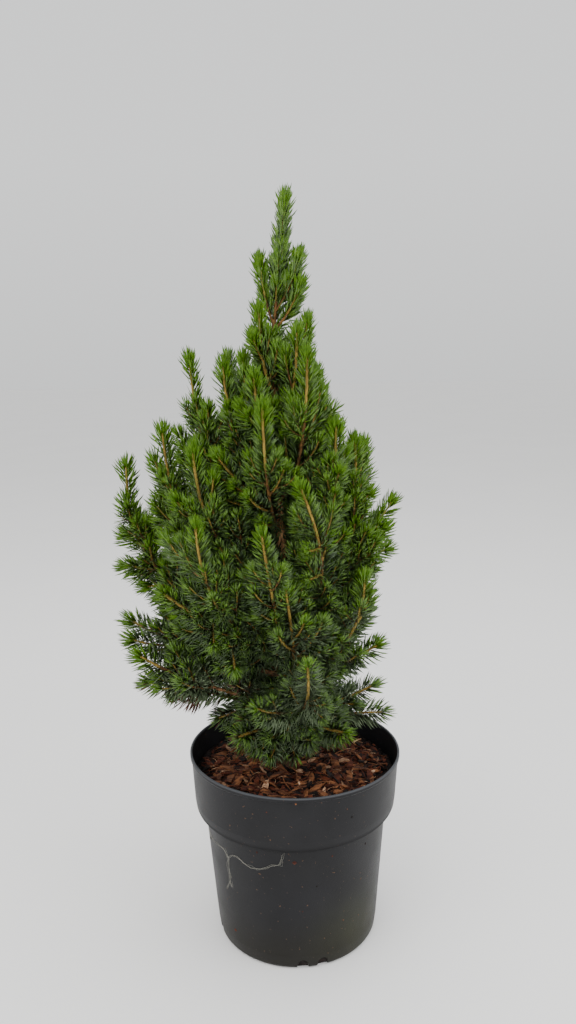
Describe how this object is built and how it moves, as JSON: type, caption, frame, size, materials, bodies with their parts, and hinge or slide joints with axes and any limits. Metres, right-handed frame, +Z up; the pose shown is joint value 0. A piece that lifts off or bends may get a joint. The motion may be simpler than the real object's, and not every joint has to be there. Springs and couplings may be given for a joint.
{
  "type": "potted dwarf alberta spruce",
  "caption": "Young dwarf spruce with upswept needled shoots round one trunk, growing in a stepped plastic nursery pot topped with bark mulch.",
  "frame": {"origin": "centre of the pot's flat underside, on the surface it stands on", "axes": "+Z up along the pot's axis and the trunk; -Y is the front, the side the picture shows; +X is to the right seen from the front"},
  "size_m": [0.2574, 0.2298, 0.6591],
  "materials": {
    "pot_plastic": "matte dark grey, dusty",
    "bark_mulch": "rough reddish brown bark chips",
    "bark": "orange-brown bark, pegged where needles fell",
    "needles": "mid green needles, yellow-green at the tips"
  },
  "bodies": {
    "root": {"far_left_bough": "bark", "far_left_foliage": "needles", "front_centre_bough": "bark", "front_centre_foliage": "needles", "front_left_spire_foliage": "needles", "front_low_bough": "bark", "front_low_foliage": "needles", "front_right_bough": "bark", "front_right_foliage": "needles", "front_spire_foliage": "needles", "inner_left_foliage": "needles", "leader_foliage": "needles", "left_front_lower_bough": "bark", "left_front_lower_foliage": "needles", "left_front_upper_bough": "bark", "left_front_upper_foliage": "needles", "left_outer_bough": "bark", "left_outer_foliage": "needles", "left_shoulder_foliage": "needles", "left_spire_bough": "bark", "left_spire_foliage": "needles", "low_left_bough": "bark", "low_left_foliage": "needles", "low_left_front_bough": "bark", "low_left_front_foliage": "needles", "low_left_rear_bough": "bark", "low_left_rear_foliage": "needles", "mulch": "bark_mulch", "pot": "pot_plastic", "rear_left_bough": "bark", "rear_left_foliage": "needles", "rear_left_spire_foliage": "needles", "rear_low_left_foliage": "needles", "rear_low_right_foliage": "needles", "rear_middle_bough": "bark", "rear_middle_foliage": "needles", "rear_right_foliage": "needles", "rear_spire_foliage": "needles", "rear_upper_bough": "bark", "rear_upper_foliage": "needles", "right_front_bough": "bark", "right_front_foliage": "needles", "right_low_foliage": "needles", "right_outer_bough": "bark", "right_outer_foliage": "needles", "right_shoulder_bough": "bark", "right_shoulder_foliage": "needles", "right_spire_foliage": "needles", "skirt_foot_foliage": "needles", "skirt_front_foliage": "needles", "skirt_front_left_foliage": "needles", "skirt_front_right_foliage": "needles", "skirt_left_bough": "bark", "skirt_left_foliage": "needles", "skirt_rear_foliage": "needles", "skirt_right_foliage": "needles", "trunk": "bark", "upper_left_foliage": "needles", "upper_right_foliage": "needles"}
  },
  "joints": []
}
